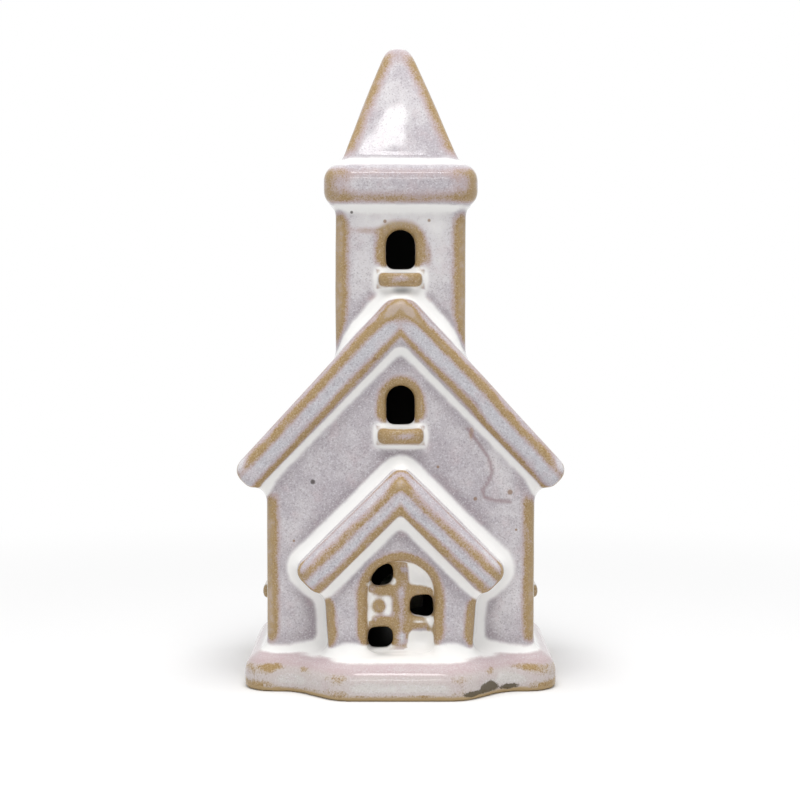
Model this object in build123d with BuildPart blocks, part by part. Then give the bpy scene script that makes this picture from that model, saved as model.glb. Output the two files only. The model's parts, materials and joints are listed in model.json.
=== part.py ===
from build123d import *
import os
from math import cos, radians, sin, sqrt, tan

# Village church of glazed stoneware with a battery light in its base.
# Millimetres, +Z up, front towards -Y, origin on the standing surface under the spire.

# Plinth
side_ledge = 5.2
front_ledge = 4.0
back_ledge = 5.0
plinth_height = 9.0
plinth_corner = 7.0
plinth_round = 3.2
step_reach = 10.0
step_shoulder = 11.6
step_flare = 9.5
step_bend = 8.0
foot_round = 1.0
foot_width = 5.0
foot_corner = 3.0
foot_recess = 1.2

# Nave
nave_width = 60.5
nave_depth = 43.0
nave_wall = 3.6
nave_corner = 2.6

# Nave roof
roof_ridge_rise = 79.0
roof_pitch = 45.5
roof_eave_reach = 6.5
roof_thickness = 6.9
roof_crown = 2.6
roof_shell = 4.0
roof_overhang = 2.2
roof_edge = 2.0
roof_ridge_round = 5.0
roof_eave_round = 3.0
roof_soffit_round = 2.4
roof_valley_round = 2.5
valley_clearance = 0.6

# Tower, cornice and spire
tower_width = 29.4
tower_rise = 20.6
tower_wall = 3.4
tower_corner = 2.6
tower_setback = 2.3
tower_root = 1.0
cornice_reach = 2.7
cornice_height = 9.8
cornice_corner = 6.0
cornice_crown_round = 4.0
cornice_foot_round = 3.4
spire_height = 27.6
spire_lean = -0.6
spire_wall = 3.2
spire_corner = 1.5
spire_tip_width = 4.5
spire_tip_round = 1.9
spire_hollow_tip = 2.0

# Windows and their sills
window_width = 6.4
window_height = 8.8
window_round = 1.7
gable_window_drop = 28.4
tower_window_rise = 6.6
side_window_rise = 12.6
sill_length = 10.2
sill_height = 4.1
sill_reach = 2.2
sill_drop = 0.3
sill_corner = 1.5
sill_round = 1.4

# Porch
porch_width = 34.0
porch_foot_taper = 1.0
porch_depth = 6.0
porch_front_wall = 2.4
porch_corner = 1.6
porch_ridge_rise = 42.4
porch_pitch = 45.0
porch_eave_reach = 5.9
porch_roof_thickness = 7.6
porch_overhang = 2.8
porch_bevel = 2.2
porch_edge = 0.9
porch_ridge_round = 2.6
porch_eave_round = 2.6
porch_soffit_round = 1.8
porch_valley_round = 1.5

# Door
door_width = 15.2
door_height = 20.8
door_arris = 1.5
door_thickness = 2.6
door_lap = 2.2
door_clearance = 0.6
mullion_width = 3.6
rail_height = 2.2
pane_rows = 3
pane_drop = 0.4
pane_margin = 0.3
pane_round = 0.5
threshold_height = 0.8
blind_depth = 1.3
boss_radius = 1.2
boss_height = 0.9
boss_taper = 20.0

# Battery light: coin cell and switch side by side set the width of the housing
cell_radius = 10.0
cell_thickness = 3.2
cell_step = 1.4
cell_step_height = 0.3
cell_rim_gap = 1.0
switch_gap = 1.1
switch_width = 3.4
switch_length = 7.4
switch_depth = 4.2
switch_wall_gap = 1.7
housing_wall = 2.0
housing_roof = 1.3
housing_headroom = 4.6
flange_reach = 3.8
flange_thickness = 1.4
flange_seat = 2.8
flange_clearance = 0.4
grip_thickness = 1.2
grip_sleeve = 0.5
grip_fit = 0.05
grip_inset = 0.8
grip_ribs = 3
grip_land = 0.45
cover_lip = 1.0
cover_thickness = 1.5
cover_clearance = 0.2
pad_radius = 5.0
pad_height = 0.6
board_clearance = 0.4
board_thickness = 1.0
board_shoulder = 1.2
contact_thickness = 0.4
contact_width = 4.0
contact_gap = 0.1
spring_gap = 2.5
spring_root = 6.0
spring_tip = 4.0
spring_foot = 2.0
spring_bend = 0.8
lens_radius = 5.4
lens_rise = 8.0
lens_wall = 1.0
lens_rim = 1.2
lens_clearance = 0.1
led_radius = 2.5
led_height = 8.6
led_rim = 0.4
led_rim_height = 1.0
knob_width = 1.8
knob_length = 2.0
knob_travel = 2.0
knob_proud = 0.7
knob_clearance = 0.15
knob_round = 0.3
tongue_width = 1.2
tongue_height = 1.0
tongue_clearance = 0.1
screw_radius = 1.0
screw_length = 6.0
screw_head_radius = 1.8
screw_head_height = 0.8
screw_sink = 0.1
screw_fit = 0.06
screw_head_clearance = 0.3
screw_slot_depth = 0.45
screw_slot_width = 0.5
screw_boss_radius = 2.3
screw_boss_inset = 1.7
screw_boss_gap = 0.2
screw_angle = 57.5

# Places that follow from the sizes
nave_front = -tower_width / 2 - tower_setback
nave_back = nave_front + nave_depth
nave_middle = (nave_front + nave_back) / 2
plinth_width = nave_width + 2 * side_ledge
plinth_front = nave_front - front_ledge
step_root_width = plinth_width - 2 * step_shoulder
step_nose_width = step_root_width - 2 * step_flare
plinth_back = nave_back + back_ledge
roof_ridge = plinth_height + roof_ridge_rise
roof_width = nave_width + 2 * roof_eave_reach
crown_ridge = roof_ridge + roof_crown
gable_window_foot = roof_ridge - gable_window_drop
side_window_foot = plinth_height + side_window_rise
tower_top = roof_ridge + tower_rise
tower_front = -tower_width / 2
tower_hollow = tower_width - 2 * tower_wall
tower_window_foot = roof_ridge + tower_window_rise
cornice_width = tower_width + 2 * cornice_reach
cornice_top = tower_top + cornice_height
spire_base_width = cornice_width - 2 * cornice_crown_round
spire_hollow = spire_base_width - 2 * spire_wall
porch_front = nave_front - porch_depth
porch_ridge = plinth_height + porch_ridge_rise
porch_roof_width = porch_width + 2 * porch_eave_reach
panel_front = porch_front + porch_front_wall
panel_width = door_width + 2 * door_lap
panel_height = door_height + door_lap
door_springing = door_height - door_width / 2
lower_rows_height = door_springing - pane_drop - threshold_height
pane_height = (lower_rows_height - (pane_rows - 2) * rail_height) / (pane_rows - 1)
housing_bore = (cell_rim_gap + 2 * cell_radius + switch_gap + switch_width + switch_wall_gap) / 2
housing_radius = housing_bore + housing_wall
light_bore = housing_radius + grip_thickness
flange_foot = flange_seat - flange_thickness
flange_radius = housing_radius + flange_reach
cover_radius = housing_radius - cover_lip
cover_seat = flange_foot + cover_thickness
cell_x = cell_rim_gap + cell_radius - housing_bore
cell_foot = cover_seat + pad_height + contact_thickness
cell_top = cell_foot + cell_thickness
board_foot = cell_top + spring_gap
board_top = board_foot + board_thickness
board_radius = housing_bore - board_clearance
housing_ceiling = board_top + housing_headroom - housing_roof
housing_top = board_top + housing_headroom
switch_x = cell_x + cell_radius + switch_gap + switch_width / 2
switch_foot = board_foot - switch_depth
knob_y = nave_middle - knob_travel / 2
screw_x = (housing_bore - screw_boss_inset) * cos(radians(screw_angle))
screw_y = nave_middle + (housing_bore - screw_boss_inset) * sin(radians(screw_angle))
screw_seat = flange_foot + screw_sink + screw_head_height


def slope_height(ridge, pitch, depth, x):
    """Height of the plane that lies depth below a roof slope, at x from the ridge."""
    return ridge - depth / cos(radians(pitch)) - abs(x) * tan(radians(pitch))


def roof_section(ridge, pitch, thickness, width, eave_round, crown=0):
    """Corners of a gabled slab roof, thicker by its crown at the ridge, from there down to the right."""
    run = width / 2 + eave_round * (sqrt(2) - 1)
    eave = (run, slope_height(ridge, pitch, 0, run))
    soffit = (eave[0] - thickness * sin(radians(pitch)), eave[1] - thickness * cos(radians(pitch)))
    valley = (0, slope_height(ridge, pitch, thickness, 0))
    return [(0, ridge + crown), eave, soffit, valley, (-soffit[0], soffit[1]), (-eave[0], eave[1])]


def gable_section(width, taper, ridge, pitch, depth):
    """Corners of a gable wall that stands on the plinth and fits under a roof slab."""
    shoulder = slope_height(ridge, pitch, depth, width / 2)
    right = [(width / 2 - taper, plinth_height), (width / 2, shoulder)]
    left = [(-x, z) for x, z in reversed(right)]
    return [*right, (0, slope_height(ridge, pitch, depth, 0)), *left]


def front_plane(y, z=0):
    """Plane that faces the front, with local x along +X and local y up."""
    return Plane(origin=(0, y, z), x_dir=(1, 0, 0), z_dir=(0, -1, 0))


def side_plane(facing, z):
    """Plane on a side wall of the nave that faces +X or -X, with local y up."""
    origin = (facing * nave_width / 2, nave_middle, z)
    return Plane(origin=origin, x_dir=(0, facing, 0), z_dir=(facing, 0, 0))


def arch(width, height):
    """Round-headed outline that stands on the origin of the sketch."""
    springing = height - width / 2
    with Locations((0, springing / 2)):
        Rectangle(width, springing)
    with Locations((0, springing)):
        Circle(width / 2)


def window_sill(plane):
    """Soft-edged bar just below a window's foot, with its back on the wall."""
    with BuildPart() as sill:
        with BuildSketch(plane):
            with Locations((0, -sill_drop - sill_height / 2)):
                RectangleRounded(sill_length, sill_height, sill_corner)
        extrude(amount=sill_reach)
        nose = sill.faces().sort_by(Axis(plane.origin, plane.z_dir))[-1]
        fillet(nose.edges(), sill_round)
    return sill


def steeple(foot, tip, height, lean, mode=Mode.ADD):
    """Flat-sided pyramid on top of the cornice, cut off at its tip, which leans along X."""
    near = (foot - tip) / 2
    far = (foot + tip) / 2
    seat = (Align.CENTER, Align.MIN, Align.CENTER)
    with Locations((0, 0, cornice_top)):
        Wedge(foot, height, foot, near + lean, near, far + lean, far, (90, 0, 0), seat, mode)


# Plinth with its doorstep, foot ring and the bore for the light
with BuildPart() as base_plinth:
    with BuildSketch():
        half_outline = [
            (plinth_width / 2, plinth_back),
            (plinth_width / 2, plinth_front),
            (step_root_width / 2, plinth_front),
            (step_nose_width / 2, plinth_front - step_reach),
        ]
        half_rounds = [plinth_corner, plinth_corner, step_bend, step_bend]
        with BuildLine():
            FilletPolyline(
                *half_outline,
                *[(-x, y) for x, y in reversed(half_outline)],
                radius=[*half_rounds, *reversed(half_rounds)],
                close=True,
            )
        make_face()
    extrude(amount=plinth_height)
    fillet(base_plinth.faces().sort_by(Axis.Z)[-1].edges(), plinth_round)
    fillet(base_plinth.faces().sort_by(Axis.Z)[0].edges(), foot_round)
    with BuildSketch():
        with Locations((0, (plinth_front + plinth_back) / 2)):
            recess_depth = plinth_back - plinth_front - 2 * foot_width
            RectangleRounded(plinth_width - 2 * foot_width, recess_depth, foot_corner)
    extrude(amount=foot_recess, mode=Mode.SUBTRACT)
    with Locations(Plane(origin=(0, nave_middle, 0), z_dir=(0, 0, -1))):
        CounterBoreHole(light_bore, flange_radius + flange_clearance, flange_seat)

# Nave body with two gables, three windows and the doorway behind the porch
with BuildPart() as nave_walls:
    with BuildSketch(front_plane(nave_front)) as nave_gable:
        with BuildLine():
            Polyline(*gable_section(nave_width, 0, roof_ridge, roof_pitch, roof_thickness), close=True)
        make_face()
        fillet(nave_gable.vertices().sort_by(Axis.Y)[-1], roof_valley_round + valley_clearance)
    extrude(amount=-nave_depth)
    fillet(nave_walls.edges().filter_by(Axis.Z), nave_corner)
    with BuildSketch(Plane.XY.offset(plinth_height)):
        with Locations((0, nave_middle)):
            Rectangle(nave_width - 2 * nave_wall, nave_depth - 2 * nave_wall)
    extrude(amount=roof_ridge_rise, mode=Mode.SUBTRACT)
    with BuildSketch(front_plane(nave_front, gable_window_foot)):
        arch(window_width, window_height)
    extrude(amount=-nave_wall, mode=Mode.SUBTRACT)
    with BuildSketch(side_plane(1, side_window_foot)):
        arch(window_width, window_height)
    extrude(amount=-nave_width, mode=Mode.SUBTRACT)
    with BuildSketch(front_plane(nave_front, plinth_height)):
        arch(panel_width, panel_height)
    extrude(amount=-nave_wall, mode=Mode.SUBTRACT)
    pierced_faces = [
        nave_walls.faces().sort_by(Axis.Y)[0],
        nave_walls.faces().sort_by(Axis.X)[0],
        nave_walls.faces().sort_by(Axis.X)[-1],
    ]
    fillet([edge for face in pierced_faces for edge in face.inner_wires().edges()], window_round)

# Nave roof, hollowed over the nave and open under the tower
roof_corners = roof_section(
    roof_ridge, roof_pitch, roof_thickness, roof_width, roof_eave_round, roof_crown
)
crown_fall = (crown_ridge - roof_corners[1][1]) / roof_corners[1][0]
with BuildPart() as nave_roof:
    with BuildSketch(front_plane(nave_front - roof_overhang)):
        with BuildLine():
            FilletPolyline(
                *roof_corners,
                radius=[
                    roof_ridge_round,
                    roof_eave_round,
                    roof_soffit_round,
                    roof_valley_round,
                    roof_soffit_round,
                    roof_eave_round,
                ],
                close=True,
            )
        make_face()
    extrude(amount=-nave_depth - 2 * roof_overhang)
    gable_ends = nave_roof.faces().sort_by(Axis.Y)
    fillet(gable_ends[0].edges() + gable_ends[-1].edges(), roof_edge)
    hollow_half = nave_width / 2 - nave_wall
    hollow_foot = slope_height(roof_ridge, roof_pitch, roof_thickness, nave_width / 2)
    with BuildSketch(front_plane(nave_front + nave_wall)):
        with BuildLine():
            Polyline(
                (hollow_half, hollow_foot),
                (hollow_half, slope_height(roof_ridge, roof_pitch, roof_shell, hollow_half)),
                (0, slope_height(roof_ridge, roof_pitch, roof_shell, 0)),
                (-hollow_half, slope_height(roof_ridge, roof_pitch, roof_shell, hollow_half)),
                (-hollow_half, hollow_foot),
                close=True,
            )
        make_face()
    extrude(amount=2 * nave_wall - nave_depth, mode=Mode.SUBTRACT)
    with BuildSketch(Plane.XY.offset(crown_ridge)):
        Rectangle(tower_hollow, tower_hollow)
    extrude(amount=-roof_ridge_rise, mode=Mode.SUBTRACT)

# Tower, saddled over the ridge
with BuildPart() as tower_walls:
    tower_foot = crown_ridge - crown_fall * tower_width / 2
    with BuildSketch(Plane.XY.offset(tower_foot - tower_root)):
        RectangleRounded(tower_width, tower_width, tower_corner)
        Rectangle(tower_hollow, tower_hollow, mode=Mode.SUBTRACT)
    extrude(amount=tower_top - tower_foot + tower_root)
    saddle_foot = crown_ridge - crown_fall * tower_width
    with BuildSketch(front_plane(tower_front)) as saddle:
        with BuildLine():
            Polyline((tower_width, saddle_foot), (0, crown_ridge), (-tower_width, saddle_foot), close=True)
        make_face()
        fillet(saddle.vertices().sort_by(Axis.Y)[-1], roof_ridge_round)
    extrude(amount=-tower_width, mode=Mode.SUBTRACT)
    with BuildSketch(front_plane(tower_front, tower_window_foot)):
        arch(window_width, window_height)
    extrude(amount=-tower_wall, mode=Mode.SUBTRACT)
    fillet(tower_walls.faces().sort_by(Axis.Y)[0].inner_wires().edges(), window_round)

# Bulging cornice
with BuildPart() as tower_cornice:
    with BuildSketch(Plane.XY.offset(tower_top)):
        RectangleRounded(cornice_width, cornice_width, cornice_corner)
    extrude(amount=cornice_height)
    fillet(tower_cornice.faces().sort_by(Axis.Z)[-1].edges(), cornice_crown_round)
    fillet(tower_cornice.faces().sort_by(Axis.Z)[0].edges(), cornice_foot_round)
    with BuildSketch(Plane.XY.offset(tower_top)):
        Rectangle(spire_hollow, spire_hollow)
    extrude(amount=cornice_height, mode=Mode.SUBTRACT)

# Hollow spire with a blunt tip, leaning a little
with BuildPart() as spire:
    steeple(spire_base_width, spire_tip_width, spire_height, spire_lean)
    foot_face = spire.faces().sort_by(Axis.Z)[0]
    tip_face = spire.faces().sort_by(Axis.Z)[-1]
    fillet(spire.edges() - foot_face.edges() - tip_face.edges(), spire_corner)
    fillet(spire.faces().sort_by(Axis.Z)[-1].edges(), spire_tip_round)
    hollow_share = (spire_hollow - spire_hollow_tip) / (spire_base_width - spire_tip_width)
    hollow_height = hollow_share * spire_height
    steeple(spire_hollow, spire_hollow_tip, hollow_height, hollow_share * spire_lean, Mode.SUBTRACT)

# Sills under the four windows
gable_window_sill = window_sill(front_plane(nave_front, gable_window_foot))
tower_window_sill = window_sill(front_plane(tower_front, tower_window_foot))
left_window_sill = window_sill(side_plane(-1, side_window_foot))
right_window_sill = window_sill(side_plane(1, side_window_foot))

# Porch front with its door arch and the niche that takes the door from behind
porch_outline = gable_section(porch_width, porch_foot_taper, porch_ridge, porch_pitch, porch_roof_thickness)
with BuildPart() as porch_walls:
    with BuildSketch(front_plane(porch_front)) as porch_gable:
        with BuildLine():
            Polyline(*porch_outline, close=True)
        make_face()
        fillet(porch_gable.vertices().sort_by(Axis.Y)[-1], porch_valley_round + valley_clearance)
    extrude(amount=-porch_depth)
    front_edges = porch_walls.faces().sort_by(Axis.Y)[0].edges().sort_by(Axis.X)
    fillet([front_edges[0], front_edges[-1]], porch_corner)
    with BuildSketch(front_plane(panel_front, plinth_height)):
        arch(panel_width + 2 * door_clearance, panel_height + door_clearance)
    extrude(amount=porch_front_wall - porch_depth, mode=Mode.SUBTRACT)
    with BuildSketch(front_plane(porch_front, plinth_height)):
        arch(door_width, door_height)
    extrude(amount=-porch_front_wall, mode=Mode.SUBTRACT)
    arch_reach = door_width / 2 + pane_margin
    arch_foot = plinth_height + pane_margin
    arch_head = plinth_height + panel_height
    arch_edges = porch_walls.faces().sort_by(Axis.Y)[0].edges()
    arch_edges = arch_edges.filter_by_position(Axis.X, -arch_reach, arch_reach)
    arch_edges = arch_edges.filter_by_position(Axis.Z, arch_foot, arch_head)
    fillet(arch_edges, door_arris)

# Porch roof: a slab whose front tapers to a smaller, bevelled brow
brow_narrowing = porch_bevel * (sin(radians(porch_pitch)) + cos(radians(porch_pitch)))
brow_section = roof_section(
    slope_height(porch_ridge, porch_pitch, porch_bevel, 0),
    porch_pitch,
    porch_roof_thickness - porch_bevel,
    porch_roof_width - 2 * brow_narrowing,
    porch_eave_round,
)
slab_section = roof_section(
    porch_ridge, porch_pitch, porch_roof_thickness, porch_roof_width, porch_eave_round
)
porch_rounds = [
    porch_ridge_round,
    porch_eave_round,
    porch_soffit_round,
    porch_valley_round,
    porch_soffit_round,
    porch_eave_round,
]
bevel_back = porch_front - porch_overhang + porch_bevel
with BuildPart() as porch_roof:
    with BuildSketch(front_plane(bevel_back)):
        with BuildLine():
            FilletPolyline(*slab_section, radius=porch_rounds, close=True)
        make_face()
    extrude(amount=bevel_back - nave_front)
    with BuildSketch(front_plane(bevel_back)):
        with BuildLine():
            FilletPolyline(*slab_section, radius=porch_rounds, close=True)
        make_face()
    with BuildSketch(front_plane(porch_front - porch_overhang)):
        with BuildLine():
            FilletPolyline(*brow_section, radius=porch_rounds, close=True)
        make_face()
    loft(ruled=True)
    fillet(porch_roof.faces().sort_by(Axis.Y)[0].edges(), porch_edge)

# Six-paned door: every pane sunk, every second one pierced, one with a raised boss
with BuildPart() as door_panel:
    with BuildSketch(front_plane(panel_front, plinth_height)):
        arch(panel_width, panel_height)
    extrude(amount=-door_thickness)
    with BuildSketch(front_plane(panel_front, plinth_height)) as panes:
        arch(door_width - 2 * pane_margin, door_height - pane_margin)
        with Locations((0, door_height / 2)):
            Rectangle(mullion_width, door_height, mode=Mode.SUBTRACT)
        Rectangle(
            door_width, threshold_height, align=(Align.CENTER, Align.MIN), mode=Mode.SUBTRACT
        )
        for row in range(1, pane_rows):
            rail_foot = threshold_height + row * pane_height + (row - 1) * rail_height
            with Locations((0, rail_foot)):
                Rectangle(door_width, rail_height, align=(Align.CENTER, Align.MIN), mode=Mode.SUBTRACT)
    extrude(amount=-blind_depth, mode=Mode.SUBTRACT)
    left_panes = panes.sketch.faces().filter_by(lambda face: face.center().X < 0).sort_by(Axis.Z)
    right_panes = panes.sketch.faces().filter_by(lambda face: face.center().X > 0).sort_by(Axis.Z)
    for pane in (left_panes[0], right_panes[1], left_panes[2]):
        extrude(pane, amount=-door_thickness, mode=Mode.SUBTRACT)
    fillet(door_panel.faces().sort_by(Axis.Y)[0].inner_wires().edges(), pane_round)
    boss_center = left_panes[1].center()
    with BuildSketch(front_plane(panel_front + blind_depth)):
        with Locations((boss_center.X, boss_center.Z)):
            Circle(boss_radius)
    extrude(amount=boss_height, taper=boss_taper)

# Light housing: flanged cup with a shoulder for the board and a boss for the cover's screw
with BuildPart() as light_housing:
    with BuildSketch(front_plane(nave_middle)):
        with BuildLine():
            Polyline(
                (cover_radius + cover_clearance, flange_foot),
                (flange_radius, flange_foot),
                (flange_radius, flange_seat),
                (housing_radius, flange_seat),
                (housing_radius, housing_top),
                (lens_radius + lens_clearance, housing_top),
                (lens_radius + lens_clearance, housing_ceiling),
                (board_radius - board_shoulder, housing_ceiling),
                (board_radius - board_shoulder, board_top),
                (housing_bore, board_top),
                (housing_bore, cover_seat),
                (cover_radius + cover_clearance, cover_seat),
                close=True,
            )
        make_face()
    revolve(axis=Axis((0, nave_middle, 0), (0, 0, 1)))
    with BuildSketch(Plane.XY.offset(cover_seat)):
        with Locations((screw_x, screw_y)):
            Circle(screw_boss_radius)
    extrude(amount=board_foot - screw_boss_gap - cover_seat)
    with BuildSketch(Plane.XY.offset(cover_seat)):
        with Locations((screw_x, screw_y)):
            Circle(screw_radius + screw_fit)
    extrude(amount=board_foot - screw_boss_gap - cover_seat, mode=Mode.SUBTRACT)

# Ribbed ring that grips the bore of the plinth
with BuildPart() as grip_ring:
    grip_height = plinth_height - grip_inset - flange_seat
    rib_pitch = grip_height / grip_ribs
    rib_radius = light_bore - grip_fit
    with BuildSketch(front_plane(nave_middle)):
        with Locations((housing_radius, flange_seat)):
            Rectangle(grip_sleeve, grip_height, align=Align.MIN)
        for rib in range(grip_ribs):
            rib_foot = flange_seat + rib * rib_pitch
            with BuildLine():
                Polyline(
                    (housing_radius, rib_foot),
                    (rib_radius, rib_foot + rib_pitch / 2),
                    (rib_radius, rib_foot + rib_pitch / 2 + grip_land),
                    (housing_radius, rib_foot + rib_pitch),
                    close=True,
                )
            make_face()
    revolve(axis=Axis((0, nave_middle, 0), (0, 0, 1)))

# Frosted dome over the lamp
with BuildPart() as dome_lens:
    dome_spring = housing_top + lens_rise - lens_radius
    lens_inner = lens_radius - lens_wall
    with BuildSketch(front_plane(nave_middle)) as lens_profile:
        with BuildLine():
            Polyline(
                (lens_inner, dome_spring),
                (lens_inner, housing_ceiling - lens_rim),
                (lens_radius + lens_rim, housing_ceiling - lens_rim),
                (lens_radius + lens_rim, housing_ceiling),
                (lens_radius, housing_ceiling),
                (lens_radius, dome_spring),
            )
            CenterArc((0, dome_spring), lens_radius, 0, 90)
            Line((0, dome_spring + lens_radius), (0, dome_spring + lens_inner))
            CenterArc((0, dome_spring), lens_inner, 0, 90)
        make_face()
    revolve(axis=Axis((0, nave_middle, 0), (0, 0, 1)))

# Lamp: round-topped LED on the board
with BuildPart() as led_bulb:
    led_spring = board_top + led_height - led_radius
    with BuildSketch(front_plane(nave_middle)):
        with BuildLine():
            Polyline(
                (0, led_spring + led_radius),
                (0, board_top),
                (led_radius + led_rim, board_top),
                (led_radius + led_rim, board_top + led_rim_height),
                (led_radius, board_top + led_rim_height),
                (led_radius, led_spring),
            )
            CenterArc((0, led_spring), led_radius, 0, 90)
        make_face()
    revolve(axis=Axis((0, nave_middle, 0), (0, 0, 1)))

# Circuit board
with BuildPart() as circuit_board:
    with BuildSketch(Plane.XY.offset(board_foot)):
        with Locations((0, nave_middle)):
            Circle(board_radius)
    extrude(amount=board_thickness)

# Coin cell with its smaller negative button upwards
with BuildPart() as coin_cell:
    with BuildSketch(Plane.XY.offset(cell_foot)):
        with Locations((cell_x, nave_middle)):
            Circle(cell_radius)
    extrude(amount=cell_thickness - cell_step_height)
    with BuildSketch(Plane.XY.offset(cell_top - cell_step_height)):
        with Locations((cell_x, nave_middle)):
            Circle(cell_radius - cell_step)
    extrude(amount=cell_step_height)

# Positive contact: a strip down the side of the cell and under it
with BuildPart() as positive_contact:
    leg_x = cell_x - cell_radius - contact_gap - contact_thickness / 2
    with BuildSketch(front_plane(nave_middle)):
        with BuildLine():
            Polyline(
                (leg_x - contact_thickness / 2, board_foot),
                (leg_x - contact_thickness / 2, cell_foot - contact_thickness),
                (cell_x, cell_foot - contact_thickness),
                (cell_x, cell_foot),
                (leg_x + contact_thickness / 2, cell_foot),
                (leg_x + contact_thickness / 2, board_foot),
                close=True,
            )
        make_face()
    extrude(amount=contact_width / 2, both=True)

# Negative contact: a leaf spring from the board down to the cell's button
with BuildPart() as negative_contact:
    half_leaf = contact_thickness / 2
    with BuildSketch(front_plane(nave_middle)):
        with BuildLine():
            FilletPolyline(
                (cell_x + spring_root, board_foot - half_leaf),
                (cell_x + spring_root - spring_foot, board_foot - half_leaf),
                (cell_x - spring_tip + spring_foot, cell_top + half_leaf),
                (cell_x - spring_tip, cell_top + half_leaf),
                radius=spring_bend,
            )
        trace(line_width=contact_thickness)
    extrude(amount=contact_width / 2, both=True)

# Switch body with the groove that its knob runs in
with BuildPart() as switch_body:
    with BuildSketch(Plane.XY.offset(switch_foot)):
        with Locations((switch_x, nave_middle)):
            Rectangle(switch_width, switch_length)
    extrude(amount=switch_depth)
    with BuildSketch(Plane.XY.offset(switch_foot)):
        with Locations((switch_x, nave_middle)):
            Rectangle(tongue_width + 2 * tongue_clearance, knob_length + knob_travel + 2 * tongue_clearance)
    extrude(amount=tongue_height + tongue_clearance, mode=Mode.SUBTRACT)

# Switch knob, at the off end of its travel
with BuildPart() as switch_knob:
    knob_tip = flange_foot - knob_proud
    with BuildSketch(Plane.XY.offset(knob_tip)):
        with Locations((switch_x, knob_y)):
            Rectangle(knob_width, knob_length)
    extrude(amount=switch_foot - tongue_clearance - knob_tip)
    fillet(switch_knob.faces().sort_by(Axis.Z)[0].edges(), knob_round)
    with BuildSketch(Plane.XY.offset(switch_foot - tongue_clearance)):
        with Locations((switch_x, knob_y)):
            Rectangle(tongue_width, knob_length)
    extrude(amount=tongue_height)

# Battery cover with the pad that presses on the contact, the knob's slot and the screw's seat
with BuildPart() as battery_cover:
    with BuildSketch(Plane.XY.offset(flange_foot)):
        with Locations((0, nave_middle)):
            Circle(cover_radius)
    extrude(amount=cover_thickness)
    with BuildSketch(Plane.XY.offset(cover_seat)):
        with Locations((cell_x, nave_middle)):
            Circle(pad_radius)
    extrude(amount=pad_height)
    with BuildSketch(Plane.XY.offset(flange_foot)):
        with Locations((switch_x, nave_middle)):
            Rectangle(knob_width + 2 * knob_clearance, knob_length + knob_travel + 2 * knob_clearance)
    extrude(amount=cover_thickness, mode=Mode.SUBTRACT)
    with Locations(Plane(origin=(screw_x, screw_y, flange_foot), z_dir=(0, 0, -1))):
        CounterBoreHole(
            screw_radius + screw_fit,
            screw_head_radius + screw_head_clearance,
            screw_sink + screw_head_height,
        )

# Cover screw with a crossed slot
with BuildPart() as cover_screw:
    with BuildSketch(Plane.XY.offset(screw_seat)):
        with Locations((screw_x, screw_y)):
            Circle(screw_radius)
    extrude(amount=screw_length)
    with BuildSketch(Plane.XY.offset(screw_seat)):
        with Locations((screw_x, screw_y)):
            Circle(screw_head_radius)
    extrude(amount=-screw_head_height)
    with BuildSketch(Plane.XY.offset(screw_seat - screw_head_height)):
        with Locations((screw_x, screw_y)):
            Rectangle(2 * screw_radius, screw_slot_width)
            Rectangle(screw_slot_width, 2 * screw_radius)
    extrude(amount=screw_slot_depth, mode=Mode.SUBTRACT)

pieces = {
    "base_plinth": base_plinth,
    "nave_walls": nave_walls,
    "nave_roof": nave_roof,
    "porch_walls": porch_walls,
    "porch_roof": porch_roof,
    "door_panel": door_panel,
    "tower_walls": tower_walls,
    "tower_cornice": tower_cornice,
    "spire": spire,
    "gable_window_sill": gable_window_sill,
    "tower_window_sill": tower_window_sill,
    "left_window_sill": left_window_sill,
    "right_window_sill": right_window_sill,
    "light_housing": light_housing,
    "grip_ring": grip_ring,
    "dome_lens": dome_lens,
    "led_bulb": led_bulb,
    "circuit_board": circuit_board,
    "coin_cell": coin_cell,
    "positive_contact": positive_contact,
    "negative_contact": negative_contact,
    "switch_body": switch_body,
    "switch_knob": switch_knob,
    "battery_cover": battery_cover,
    "cover_screw": cover_screw,
}
os.makedirs("parts", exist_ok=True)
for name, piece in pieces.items():
    piece.part.label = name
    export_step(piece.part, f"parts/{name}.step")
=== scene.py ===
"""Looks of a glazed stoneware village house with a pull-out light unit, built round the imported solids."""

import json
import math

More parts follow.
